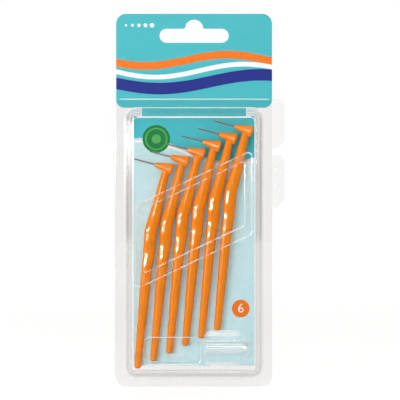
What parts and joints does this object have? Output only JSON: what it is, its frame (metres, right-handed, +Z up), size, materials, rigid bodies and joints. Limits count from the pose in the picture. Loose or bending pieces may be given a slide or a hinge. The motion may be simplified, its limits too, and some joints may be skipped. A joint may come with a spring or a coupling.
{
  "type": "interdental brush pack",
  "caption": "Clear hinged clamshell hang pack with a printed card header, holding a slanted row of angled interdental brushes and their protective cap.",
  "frame": {"origin": "where the display peg sits: the centre of the hang slot's round crown, on the card's back face", "axes": "+X to the right seen from the front, +Y from the front of the pack to its back, +Z up along the pack as it hangs"},
  "size_m": [0.0786, 0.0153, 0.1724],
  "materials": {
    "card": "coated, printed",
    "clear_sheet": "clear, glossy",
    "clear_cap": "clear, glossy",
    "handle": "satin",
    "wire": "drawn",
    "bristle": "fine filaments"
  },
  "bodies": {
    "pack": {"hang_card": "card", "back_shell": "clear_sheet", "fold_hinge": "clear_sheet", "protective_cap": "clear_cap", "brush_1_handle": "handle", "brush_1_wire": "wire", "brush_1_bristles": "bristle", "brush_2_handle": "handle", "brush_2_wire": "wire", "brush_2_bristles": "bristle", "brush_3_handle": "handle", "brush_3_wire": "wire", "brush_3_bristles": "bristle", "brush_4_handle": "handle", "brush_4_wire": "wire", "brush_4_bristles": "bristle", "brush_5_handle": "handle", "brush_5_wire": "wire", "brush_5_bristles": "bristle", "brush_6_handle": "handle", "brush_6_wire": "wire", "brush_6_bristles": "bristle"},
    "lid": {"front_shell": "clear_sheet"}
  },
  "joints": [
    {"name": "lid_hinge", "type": "hinge", "parent": "pack", "child": "lid", "pos_m": [-0.03607, -0.0003, -0.099], "axis": [0, 0, -1], "range_deg": [0, 175], "deforming": ["fold_hinge"]}
  ]
}
